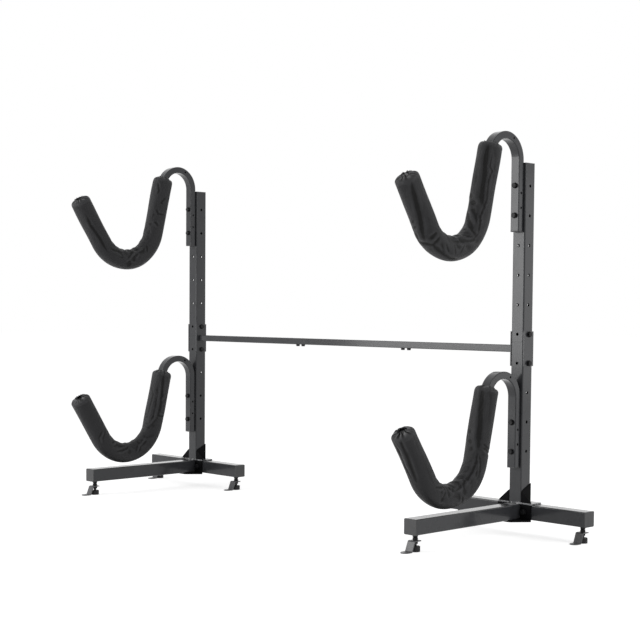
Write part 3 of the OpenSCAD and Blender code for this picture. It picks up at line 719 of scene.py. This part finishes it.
# %% [markdown]
# ## Ripples and pleats
# What the listed creases don't place, chance does, from a seeded generator so that each run gives the
# same cloth. Pleats crowd round the mouths. Short folds lie across the inside of the bend, where the
# tube has cloth to spare, and long soft ones run along the rest. The same step notes what the drape and
# the finish need later: the slack of each vertex, its painted crease shade and the crests of the
# pleats, which get a painted glint.

# %% Waves from chance
def waves(rng, count, turn, s, most, length):
    """A sum of smooth waves round and along the sleeve, from about -1 to 1."""
    total = 0
    for _ in range(count):
        beats = rng.integers(0, most + 1) * turn
        total = total + np.cos(beats + s / length * rng.uniform(-1, 1) + rng.uniform(0, 7))
    return total * 1.4 / math.sqrt(count)


# %% The sleeve before draping
PLEATS, PLEAT_HEIGHT, PLEAT_LIFT = 12, 0.0030, 0.0022
# The pale crests of the pleats are a painted glint.
GATHER, GLINT_REACH = 0.019, 0.0125  # how far from a mouth the pleats and their pale crests reach
FOLD_SPACING, FOLD_HEIGHT, LONG_FOLD_HEIGHT, UNEVENNESS = 0.052, 0.0016, 0.0010, 0.0006


def rippled(rng, climb, reach, creases):
    """The rings of a sleeve before draping, and the marks that the drape and the finish use."""
    s, r, run = stations(climb, reach)
    turn = np.arange(SIDES) * 2 * math.pi / SIDES
    S, T = np.meshgrid(s, turn, indexing="ij")
    from_mouth = np.minimum(run, run[-1] - run)
    gather = np.exp(-((from_mouth / GATHER) ** 2))[:, None]
    pleats = np.cos(PLEATS * T + 1.6 * np.sin(3 * T + rng.uniform(0, 7)) + 1.2 * np.sin(5 * T))
    bent = np.clip(1 - np.abs(S - (NEAR_LEG + BEND / 2)) / (0.58 * BEND), 0, 1)
    inside = np.clip(np.cos(T + 0.5 * waves(rng, 4, T * 0, S, 0, 0.07)), 0, 1)
    sway = 1.5 * np.sin(2 * T + rng.uniform(0, 7))
    across = np.cos(2 * math.pi * S / FOLD_SPACING + sway + 1.3 * waves(rng, 4, T, S, 1, 0.05))
    along = np.abs(np.cos(1.5 * T + 1.6 * waves(rng, 5, T, S, 1, 0.16))) - 0.6
    soft = UNEVENNESS * waves(rng, 10, T, S, 5, 0.025) + FOLD_HEIGHT * across * bent**0.8 * inside**0.8
    soft = soft + LONG_FOLD_HEIGHT * along * (1 - 0.7 * bent * inside)
    # The creases' painted shade, lighter for a ridge, which the finish puts into the cloth's colour.
    shade = np.zeros(S.shape)
    for line in creases:
        push, darker = crease(S, T, *line)
        soft, shade = soft + push, np.where(np.abs(darker) > np.abs(shade), darker, shade)
    R = r[:, None] + PLEAT_HEIGHT * pleats * gather + soft * (1 - gather)
    lift = PLEAT_LIFT * gather * np.cos(9 * T + 2 + 1.4 * np.sin(2 * T + rng.uniform(0, 7)))
    rings = np.stack([around_path(np.full(SIDES, s[i]), turn, R[i], lift[i]) for i in range(RINGS)])
    slack = 0.18 + 0.18 * waves(rng, 8, T, S, 2, 0.06) + 0.42 * inside * bent**0.7 + 0.35 * gather
    # Painted glint on the pleat crests near each mouth, weaker at the near end.
    crest_glints = np.exp(-((from_mouth / GLINT_REACH) ** 2))[:, None] * np.clip(0.3 + 0.8 * pleats, 0, 1)
    crest_glints = crest_glints * np.where(np.arange(RINGS) < RINGS // 2, 0.6, 1.0)[:, None]
    marks = {"run": run, "from_mouth": from_mouth, "shade": shade, "crest_glints": crest_glints}
    return rings, {**marks, "slack": np.clip(slack, 0, 1)}


# %% [markdown]
# ## Draping
# The cloth solver works best on things the size of furniture, so a sleeve is draped at ten times its
# size and shrunk again. The cloth may grow where it has slack, most of all on the inside of the bend
# and nowhere by more than three tenths. The foam under it only lets it go outwards, so it has to fold.
# The mouths are pinned, as elastic would hold them. Only the shape is kept: the solver and its foam
# are thrown away.

# %% The foam under the cloth
def foam_rings(radius, inset, rounding, climb, reach, count, sides):
    """Rings of a foam tube with rounded ends."""
    quarter = np.linspace(0, math.pi / 2, 8)
    ends = inset + rounding * (1 - np.cos(quarter))
    rounds = radius - rounding + rounding * np.sin(quarter)
    body = np.linspace(ends[-1] - climb, PAD_LENGTH + reach - ends[-1], count)[1:-1]
    s = np.concatenate([ends - climb, body, PAD_LENGTH + reach - ends[::-1]])
    r = np.concatenate([rounds, np.full(len(body), radius), rounds[::-1]])
    turn = np.arange(sides) * 2 * math.pi / sides
    return np.stack([around_path(np.full(sides, a), turn, np.full(sides, b)) for a, b in zip(s, r)])


# %% What the solver is told
TIMES, DRAPE_FRAMES = 10.0, 20
FOAM_TO_DRAPE_ON = {"radius": 0.0358, "inset": 0.010, "rounding": 0.010, "count": 110, "sides": 48}
LEAST_GROWTH, MOST_GROWTH = 0.01, 0.30


def stiffen(solver):
    """A tight, stiff weave that settles fast and doesn't fall."""
    cloth = solver.settings
    cloth.quality, cloth.mass, cloth.air_damping, cloth.time_scale = 5, 0.15, 1.0, 2.5
    cloth.tension_stiffness = cloth.compression_stiffness = 60
    cloth.shear_stiffness, cloth.bending_stiffness = 12, 5.0
    cloth.tension_damping = cloth.compression_damping = cloth.shear_damping = 2
    cloth.bending_damping = 0.5
    cloth.vertex_group_mass = "mouths"
    cloth.vertex_group_shrink = "spare"
    cloth.shrink_min, cloth.shrink_max = -LEAST_GROWTH, -MOST_GROWTH
    cloth.effector_weights.gravity = 0.0
    cloth.use_pressure, cloth.uniform_pressure_force = True, 0.1
    solver.collision_settings.distance_min = 0.008
    solver.collision_settings.collision_quality = 3


# %% Draping one sleeve
def foam_to_drape_on(climb, reach):
    """The stand-in for the foam, which the cloth slides on."""
    rings = foam_rings(climb=climb, reach=reach, **FOAM_TO_DRAPE_ON)
    foam = link(bpy.data.objects.new("foam", rings_to_mesh("foam", rings * TIMES)))
    foam.modifiers.new("Collision", "COLLISION")
    foam.collision.thickness_outer = 0.008
    foam.collision.cloth_friction = 25
    return foam


def drape(rings, from_mouth, slack, climb, reach):
    """The rings after the cloth has settled on the foam."""
    cloth = link(bpy.data.objects.new("cloth", rings_to_mesh("cloth", rings * TIMES)))
    foam = foam_to_drape_on(climb, reach)
    mouths, spare = cloth.vertex_groups.new(name="mouths"), cloth.vertex_groups.new(name="spare")
    for i in range(RINGS):
        hold = float(np.clip(1 - (from_mouth[i] - 0.002) / 0.006, 0, 1))
        if hold > 0:
            mouths.add(range(i * SIDES, (i + 1) * SIDES), hold, "REPLACE")
    for i, share in enumerate(slack.ravel()):
        spare.add([i], float(share), "REPLACE")
    stiffen(cloth.modifiers.new("Cloth", "CLOTH"))
    for frame_number in range(1, DRAPE_FRAMES + 1):
        bpy.context.scene.frame_set(frame_number)
    settled = cloth.evaluated_get(bpy.context.evaluated_depsgraph_get()).to_mesh()
    places = np.empty(len(settled.vertices) * 3, np.float32)
    settled.vertices.foreach_get("co", places)
    for gone in (cloth, foam):
        bpy.data.objects.remove(gone)
    bpy.context.scene.frame_set(1)
    return places.reshape(rings.shape).astype(float) / TIMES


# %% [markdown]
# ## Woven cloth
# The sleeves are a tight black polyester weave. Its threads lie along and across the tube, so the
# pattern needs coordinates that run with the cloth: a UV map in metres of cloth. Three scales are
# stacked: the threads and the fine crackle of a stiff coated cloth as bumps, and the folds in the mesh
# itself. Threads are sine waves. The crackle is how far a noise is from its middle value, which leaves
# a sharp groove wherever the noise crosses that value.

# %% Weave and crackle as one group
CRACKLE_PER_METRE, CLOUDS_PER_METRE = 30.0, 9.0

weave, weave_in, weave_out = group(
    "woven_cloth", {"Thread": 0.0006, "Crackle": 1.0}, ["Threads", "Crackle", "Cloud"]
)
plan = weave.nodes.new("ShaderNodeUVMap")
plan.uv_map = "cloth_plan"
split = weave.nodes.new("ShaderNodeSeparateXYZ")
weave.links.new(plan.outputs["UV"], split.inputs[0])


def thread_beat(axis):
    """A sine wave with one half beat to a thread."""
    count = maths(weave, "DIVIDE", split.outputs[axis], weave_in.outputs["Thread"])
    return maths(weave, "SINE", maths(weave, "MULTIPLY", count, math.pi))


over_and_under = maths(weave, "MULTIPLY", thread_beat("X"), thread_beat("Y"))
weave.links.new(maths(weave, "ABSOLUTE", over_and_under), weave_out.inputs["Threads"])
slanted = weave.nodes.new("ShaderNodeMapping")
slanted.inputs["Rotation"].default_value = (0, 0, 0.5)
slanted.inputs["Scale"].default_value = (1.6, 0.7, 1)
weave.links.new(plan.outputs["UV"], slanted.inputs["Vector"])
hills = noise(weave, slanted.outputs["Vector"], CRACKLE_PER_METRE, 2.5, 0.5)
from_middle = maths(weave, "ABSOLUTE", maths(weave, "SUBTRACT", hills, 0.5))
sharp = maths(weave, "POWER", maths(weave, "MULTIPLY", from_middle, 4.0, clamp=True), 0.6)
weave.links.new(maths(weave, "MULTIPLY", sharp, weave_in.outputs["Crackle"]), weave_out.inputs["Crackle"])
weave.links.new(noise(weave, plan.outputs["UV"], CLOUDS_PER_METRE, 4.0), weave_out.inputs["Cloud"])
print("weave:", len(weave.nodes), "nodes")

# %% [markdown]
# ## The finish of the sleeves
# Black cloth is never evenly black, and here light and shade are painted into its colour too: painted
# shade down in a crease, a painted highlight on a ridge, and a pale painted glint where the raw edge and
# the pleats of the mouths stand up into the light. How deep a vertex lies and how near a mouth it is are
# numbers that the mesh carries, and the finish reads them as the attribute fold and one for the glints.

# %% Sleeve cloth
CLOTH_LOW, CLOTH_HIGH = (0.016, 0.016, 0.017), (0.032, 0.032, 0.034)
# Colours of painted light: painted shade in folds, painted highlight on ridges, painted glint at mouths.
FOLD_SHADE_COLOUR, RIDGE_HIGHLIGHT_COLOUR, MOUTH_GLINT_COLOUR = (0.002, 0.002, 0.002), (0.055, 0.055, 0.058), (0.21, 0.21, 0.215)

woven = Shader("sleeve_cloth")
woven.set(Specular_IOR_Level=0.18, Sheen_Weight=0.10, Sheen_Roughness=0.3)
threads = use(woven, weave, Thread=0.0006, Crackle=1.0)
# Painted light read from the mesh: shade in folds and highlights on ridges, and glints at the mouths.
fold = woven.node("ShaderNodeAttribute", attribute_name="fold").outputs["Fac"]
mouth_glint = woven.node("ShaderNodeAttribute", attribute_name="mouth_glint").outputs["Fac"]
deep = ramp(woven.tree, fold, 0.5, 0.08)
ridge_highlight = maths(woven.tree, "MULTIPLY", ramp(woven.tree, fold, 0.6, 1.0), 0.5)

black = mixed(woven, threads.outputs["Cloud"], CLOTH_LOW, CLOTH_HIGH)
# Painted shade, painted highlight and painted glint go into the base colour.
black = mixed(woven, deep, black, FOLD_SHADE_COLOUR)
black = mixed(woven, ridge_highlight, black, RIDGE_HIGHLIGHT_COLOUR)
black = mixed(woven, mouth_glint, black, MOUTH_GLINT_COLOUR)
woven.join(black, woven.bsdf.inputs["Base Color"])
dull = ramp(woven.tree, threads.outputs["Cloud"], 0.3, 0.7, 0.46, 0.58)
woven.join(dull, woven.bsdf.inputs["Roughness"])
weave_normal = bumped(woven, threads.outputs["Threads"], 0.5, 0.0002)
cloth_normal = bumped(woven, threads.outputs["Crackle"], 0.7, 0.0012, weave_normal)
woven.join(cloth_normal, woven.bsdf.inputs["Normal"])
print("sleeve cloth:", len(woven.tree.nodes), "nodes")

# %% [markdown]
# ## The skin of the foam
# The foam hardly shows, only as a dull dark rim deep in the mouths. Its cells are about as fine as the
# pebbles of the coat, so the recipe for hard finishes does for it too, with a strong bump.

# %% Foam skin
foam_skin = coated(
    "foam", (0.030, 0.030, 0.031), (0.045, 0.045, 0.046), bare=(0.05, 0.05, 0.05),
    rough=0.85, grain_size=0.0009, bump=0.6, wear_amount=0.0, dust_amount=0.0,
)
print("foam:", foam_skin.name)

# %% [markdown]
# ## Making a sleeve
# After draping, a sleeve gets three more things. What stands beyond the elastic is a short frill, which
# waves as it opens. The map of its cloth lets the threads run with the tube. And the numbers for the
# finish are written on its vertices. Last comes one subdivision, since the solver's quads are 4 mm
# long and a crease is hardly wider.

# %% How deep a vertex lies
FULL_FOLD = 0.0016  # height over its neighbours at which a vertex counts as a ridge


def fold_depth(rings):
    """0 in the bottom of a fold, 0.5 on plain cloth and 1 on a ridge."""
    centre = rings.mean(1, keepdims=True)
    radius = np.linalg.norm(rings - centre, axis=2)
    wide = radius.copy()
    for _ in range(6):
        beside = wide + np.roll(wide, 1, 1) + np.roll(wide, -1, 1)
        before, after = np.vstack([wide[:1], wide[:-1]]), np.vstack([wide[1:], wide[-1:]])
        wide = (beside + before + after) / 5
    return np.clip(0.5 + (radius - wide) / FULL_FOLD, 0, 1)


# %% Frills at the mouths
FRILL_HEIGHT, FRILL_ROWS = 0.0035, (0.3, 0.65, 1.0)
FRILL_FLARE, FRILL_WAVE, FRILL_WAVES = 0.0008, 0.0014, 9


def frill(end, inner, rng):
    """The rows of cloth that stand beyond one mouth, from the elastic outwards."""
    turn = np.arange(SIDES) * 2 * math.pi / SIDES
    centre = end.mean(0)
    axis = centre - inner.mean(0)
    axis = axis / np.linalg.norm(axis)
    spoke = end - centre
    spoke = spoke - (spoke @ axis)[:, None] * axis
    spoke = spoke / np.linalg.norm(spoke, axis=1)[:, None]
    sway = 1.4 * np.sin(2 * turn + rng.uniform(0, 7))
    wave = np.cos(FRILL_WAVES * turn + sway + rng.uniform(0, 7))
    rows = []
    for k in FRILL_ROWS:
        swell = FRILL_FLARE * k + FRILL_WAVE * k * wave
        rise = FRILL_HEIGHT * k * (1 + 0.15 * np.cos(5 * turn))
        rows.append(end + spoke * swell[:, None] + axis * rise[:, None])
    return rows


def with_frills(rings, rng):
    """The rings with a frill at both ends."""
    near = frill(rings[0], rings[12], rng)
    far = frill(rings[-1], rings[-13], rng)
    return np.concatenate([np.stack(near[::-1]), rings, np.stack(far)])


# %% What a sleeve's mesh carries
def write_on(mesh, name, values):
    """Stores one number for each vertex, which the finish reads as an attribute."""
    stored = mesh.attributes.new(name, "FLOAT", "POINT")
    stored.data.foreach_set("value", values.ravel().astype(np.float32))


def lay_plan(mesh, along):
    """The map of the cloth in metres, round the sleeve and along it, cut open at its first side."""
    corner_vertex = np.empty(len(mesh.loops), np.int32)
    mesh.loops.foreach_get("vertex_index", corner_vertex)
    ring_of, side_of = corner_vertex // SIDES, corner_vertex % SIDES
    last_face = np.repeat(np.arange(len(mesh.polygons)) % SIDES == SIDES - 1, 4)
    side_of = np.where(last_face & (side_of == 0), SIDES, side_of)
    uv = np.stack([side_of / SIDES * 2 * math.pi * SLEEVE_RADIUS, along[ring_of]], -1)
    mesh.uv_layers.new(name="cloth_plan").data.foreach_set("uv", uv.ravel().astype(np.float32))


# %% Making one sleeve
FRILL_STEP = 0.003  # length of cloth in each row of a frill
SHADE_SHARE = 0.5  # how much of a crease's shade the finish gets


def sleeve(name, seed, climb, reach, creases):
    """A draped sleeve in the hook's own frame."""
    rings, marks = rippled(np.random.default_rng(seed), climb, reach, creases)
    rings = drape(rings, marks["from_mouth"], marks["slack"], climb, reach)
    rows = len(FRILL_ROWS)
    # Fold depth less the creases' painted shade: the finish paints shade in folds and highlights on ridges.
    depth = np.clip(fold_depth(rings) - SHADE_SHARE * marks["shade"], 0, 1)
    depth = np.vstack([depth[:1]] * rows + [depth] + [depth[-1:]] * rows)
    rise = np.array([0.25, 0.6, 1.0])[:, None]
    # The painted glint at the mouths, carried on to the rows of the frills.
    crest_glints = marks["crest_glints"]
    crest_glints = np.vstack([0.3 + rise[::-1] * crest_glints[:1], crest_glints, 0.4 + rise * crest_glints[-1:]])
    run, steps = marks["run"], np.arange(1, rows + 1) * FRILL_STEP
    mesh = rings_to_mesh(name, with_frills(rings, np.random.default_rng(seed + 50)))
    write_on(mesh, "fold", depth)
    write_on(mesh, "mouth_glint", crest_glints)
    lay_plan(mesh, np.concatenate([run[0] - steps[::-1], run, run[-1] + steps]))
    mesh.materials.append(woven.material)
    piece = link(bpy.data.objects.new(name, mesh))
    smooth = piece.modifiers.new("finer", "SUBSURF")
    smooth.levels = smooth.render_levels = 1
    return piece


# %% [markdown]
# ## Making a foam
# The foam is a thick tube that fills the sleeve and closes the view into its mouths. It doesn't fold,
# so it is modelled directly: the rings of its outside and of its bore make one closed skin, and the
# ring where they meet is merged.

# %% Making one foam
FOAM_SHAPE = {"radius": 0.0350, "inset": 0.012, "rounding": 0.006, "count": 90, "sides": 40}
BORE_RADIUS, BORE_INSET, BORE_RINGS = 0.0219, 0.013, 80


def foam_core(name, climb, reach):
    """A foam tube with rounded ends and its bore, as one closed skin."""
    sides = FOAM_SHAPE["sides"]
    outside = foam_rings(climb=climb, reach=reach, **FOAM_SHAPE)
    turn = np.arange(sides) * 2 * math.pi / sides
    back = np.linspace(PAD_LENGTH + reach - BORE_INSET, BORE_INSET - climb, BORE_RINGS)
    bore = np.stack([around_path(np.full(sides, s), turn, np.full(sides, BORE_RADIUS)) for s in back])
    mesh = rings_to_mesh(name, np.concatenate([outside, bore, outside[:1]]))
    bm = bmesh.new()
    bm.from_mesh(mesh)
    bmesh.ops.remove_doubles(bm, verts=bm.verts, dist=1e-6)
    bm.to_mesh(mesh)
    bm.free()
    mesh.materials.append(foam_skin)
    return link(bpy.data.objects.new(name, mesh))


# %% [markdown]
# ## The creases of each sleeve
# Each line is one crease that shows on the real pads: its points as (mm along the pad, degrees round
# it, with 0 on the inside of the cradle), then its width and its depth in mm. They were set by
# comparing close-ups of the pads with the draped sleeves.

# %% Creases
CREASES = {}
CREASES["upper_right"] = [
    ([(-12, 32), (35, 30), (85, 37), (165, 42), (200, 56)], 10, 4.2),
    ([(10, 57), (61, 56), (73, 70), (107, 60), (172, 66), (231, 48), (265, 60), (303, 74), (329, 74)],
     3.2, 2.4),
    ([(165, -48), (209, -32), (267, 8), (303, 40), (309, 70)], 8, 3.6),
    ([(435, 60), (373, 58), (325, 78)], 5, 3.2),
    ([(430, 34), (385, 30), (345, 40)], 5, -2.2),
    ([(495, 108), (455, 138)], 3, 1.4),
    ([(479, 92), (447, 124)], 3, 1.4),
    ([(439, 74), (421, 124)], 3, 1.2),
    ([(381, 66), (405, 112)], 3, 1.4),
    ([(511, 142), (471, 140), (435, 144), (401, 148)], 5.5, 2.8),
    ([(715, 122), (683, 130), (617, 140), (557, 155), (525, 166)], 7.5, 3.4),
    ([(653, 208), (633, 200)], 4, 2.4),
    ([(595, 174), (567, 222)], 4.5, 3.0),
    ([(577, 174), (549, 224)], 4.5, 3.0),
    ([(557, 192), (523, 212), (515, 162), (505, 142)], 5.5, 3.4),
    ([(529, 96), (527, 142)], 4.5, 3.0),
    ([(511, 98), (507, 140)], 4.5, 3.0),
]
CREASES["lower_right"] = [
    ([(-12, 20), (58, 28), (122, 36), (188, 42)], 10, 4.2),
    ([(168, 64), (180, 110), (184, 140)], 3.5, 3.0),
    ([(178, 66), (194, 128), (200, 165)], 4.5, 4.2),
    ([(198, 44), (256, 44), (308, 40), (346, 40), (412, 60)], 4.5, 3.2),
    ([(202, 54), (246, 70), (280, 84)], 3.5, 1.6),
    ([(214, 46), (288, 68)], 3.5, 1.4),
    ([(522, 90), (480, 50), (468, 74), (472, 104)], 4, 3.4),
    ([(450, 42), (410, 54)], 5.5, 3.4),
    ([(326, 30), (364, 60)], 4, 2.2),
    ([(378, 92), (378, 128)], 4, 2.8),
    ([(724, 192), (674, 190)], 3.5, 2.6),
    ([(734, 152), (674, 158)], 4.5, 2.6),
    ([(704, 150), (628, 158), (570, 162)], 5.5, 3.0),
    ([(710, 182), (628, 192), (582, 180)], 4.5, 2.6),
]
CREASES["upper_left"] = [
    ([(6, 26), (42, 42), (58, 36)], 4, 1.9),
    ([(62, 92), (90, 68), (94, 84)], 4, 1.9),
    ([(120, 48), (138, 62), (136, 104)], 4, 1.9),
    ([(172, 50), (188, 78)], 4.5, 2.1),
    ([(298, 42), (378, 50), (410, 78), (434, 116)], 4, -2.6),
    ([(364, 60), (410, 90)], 4.5, 3.4),
    ([(520, 92), (480, 68), (452, 76)], 4.5, 2.8),
    ([(500, 68), (456, 62)], 4.5, 2.8),
    ([(696, 128), (644, 132), (576, 118), (516, 118)], 6, 2.0),
    ([(294, 50), (320, 82)], 4, 1.5),
]
CREASES["lower_left"] = [
    ([(40, 56), (90, 62), (140, 64), (192, 60), (232, 30)], 4.5, -1.8),
    ([(2, 64), (60, 70), (140, 80), (190, 76)], 6.5, 2.6),
    ([(56, -8), (98, 22), (146, 16), (198, 10)], 4, 1.2),
    ([(90, 102), (122, 76)], 4.5, -2.4),
    ([(180, 70), (182, 142)], 4, 2.4),
    ([(294, 48), (356, 60), (380, 92)], 4, -2.6),
    ([(386, 120), (398, 140)], 4, -2.0),
    ([(418, 50), (480, 96)], 4.5, 3.6),
    ([(582, 48), (562, 56)], 4.5, 3.0),
    ([(588, 84), (570, 118), (544, 128)], 4, -1.8),
    ([(516, 84), (496, 48)], 4.5, -2.0),
]
print("creases:", {hook: len(lines) for hook, lines in CREASES.items()})

# %% [markdown]
# ## Four sleeves over four foams
# Each sleeve has its own seed, so that no two fold alike, and its own place: a pad creeps up its tube
# in use, and its far end lies a little past where the CAD has it or short of that. Sleeve and foam
# replace the two CAD solids that hold their place and ride on the frame. A fill is listed for each,
# a little slack for the sleeve and tight for the foam, but nothing uses it.

# %% The four pads
FIRST_SEED = 21
CREEP = {"upper_left": 0.020, "upper_right": 0.027, "lower_left": 0.006, "lower_right": 0.022}
REACH = {"upper_left": 0.008, "upper_right": -0.010, "lower_left": 0.010, "lower_right": -0.004}
SLEEVE_FILL, FOAM_FILL = 0.85, 1.0

for seed, hook in enumerate(HOOK_NAMES, start=FIRST_SEED):
    cover = sleeve("sleeve_" + hook, seed, CREEP[hook], REACH[hook], CREASES[hook])
    core = foam_core("foam_" + hook, CREEP[hook], REACH[hook])
    pad = ((cover, "pad_sleeve_" + hook, SLEEVE_FILL), (core, "pad_foam_" + hook, FOAM_FILL))
    for piece, node, fill in pad:
        piece.location = hook_origin(hook)
        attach(piece, "frame")
        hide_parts(node)
    print(hook, "cloth vertices:", len(cover.data.vertices))

# %% [markdown]
# ## Sizes before and after
# Dressing must not change the size of the rack. The box of the CAD frame and the box of what shows now
# are compared at their low corners, and how far anything stands past the CAD box there is printed.
# Only the cloth may stand a few millimetres proud.

# %% Sizes, then the last line
shown_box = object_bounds()
proud = max(a - b for a, b in zip(cad_box[0], shown_box[0]))
print("cloth stands proud by", round(proud * 1000, 1), "mm")
